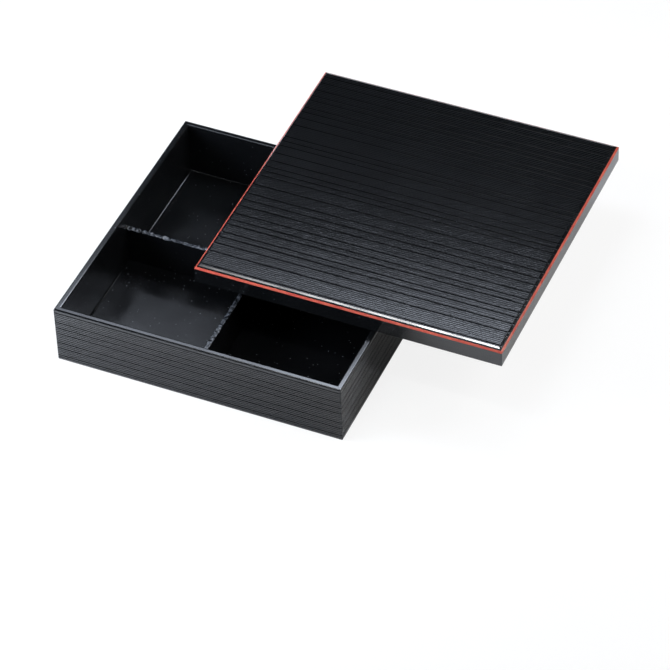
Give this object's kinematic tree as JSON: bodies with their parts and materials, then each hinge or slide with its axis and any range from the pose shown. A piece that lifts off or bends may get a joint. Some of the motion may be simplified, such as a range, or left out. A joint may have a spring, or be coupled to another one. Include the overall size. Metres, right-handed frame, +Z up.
{
  "type": "shokado bento box",
  "caption": "Square lacquered lunch box with a lift-out four-way divider and a deep grooved lid with a vermilion edge, laid open across the box.",
  "frame": {"origin": "centre of the box's underside, on the flat face it stands on", "axes": "+Z up, -Y is the front wall nearest the viewer, +X to the right along the front wall, with the lid pushed to +X and +Y"},
  "size_m": [0.3477, 0.3276, 0.0701],
  "materials": {
    "groove_lacquer": "black lacquer over milled grooves and fine grain, satin",
    "gloss_lacquer": "smooth black lacquer, gloss",
    "slat_lacquer": "black lacquer, gloss on the faces and rough on the sawn top",
    "vermilion_lacquer": "vermilion lacquer, gloss",
    "bare_wood": "bare planed wood, hidden"
  },
  "bodies": {
    "box": {"front_wall": "groove_lacquer", "right_wall": "groove_lacquer", "back_wall": "groove_lacquer", "left_wall": "groove_lacquer", "floor_board": "gloss_lacquer", "corner_spline_front_right": "bare_wood", "corner_spline_back_right": "bare_wood", "corner_spline_back_left": "bare_wood", "corner_spline_front_left": "bare_wood"},
    "cross_slat": {"cross_slat": "slat_lacquer"},
    "long_slat": {"long_slat": "slat_lacquer"},
    "lid": {"lid_board": "groove_lacquer", "lid_rail_front": "gloss_lacquer", "lid_rail_right": "gloss_lacquer", "lid_rail_back": "gloss_lacquer", "lid_rail_left": "gloss_lacquer", "lid_band_front": "vermilion_lacquer", "lid_band_right": "vermilion_lacquer", "lid_band_back": "vermilion_lacquer", "lid_band_left": "vermilion_lacquer"}
  },
  "joints": [
    {"name": "lid_lift", "type": "slide", "parent": "box", "child": "lid", "axis": [0, 0, 1], "range_m": [0, 0.2]},
    {"name": "long_slat_lift", "type": "slide", "parent": "box", "child": "long_slat", "axis": [0, 0, 1], "range_m": [0, 0.15]},
    {"name": "cross_slat_lift", "type": "slide", "parent": "box", "child": "cross_slat", "axis": [0, 0, 1], "range_m": [0, 0.1]}
  ],
  "couplings": [
    {"joint": "long_slat_lift", "follows": "lid_lift", "ratio": 0.75},
    {"joint": "cross_slat_lift", "follows": "lid_lift", "ratio": 0.5}
  ]
}
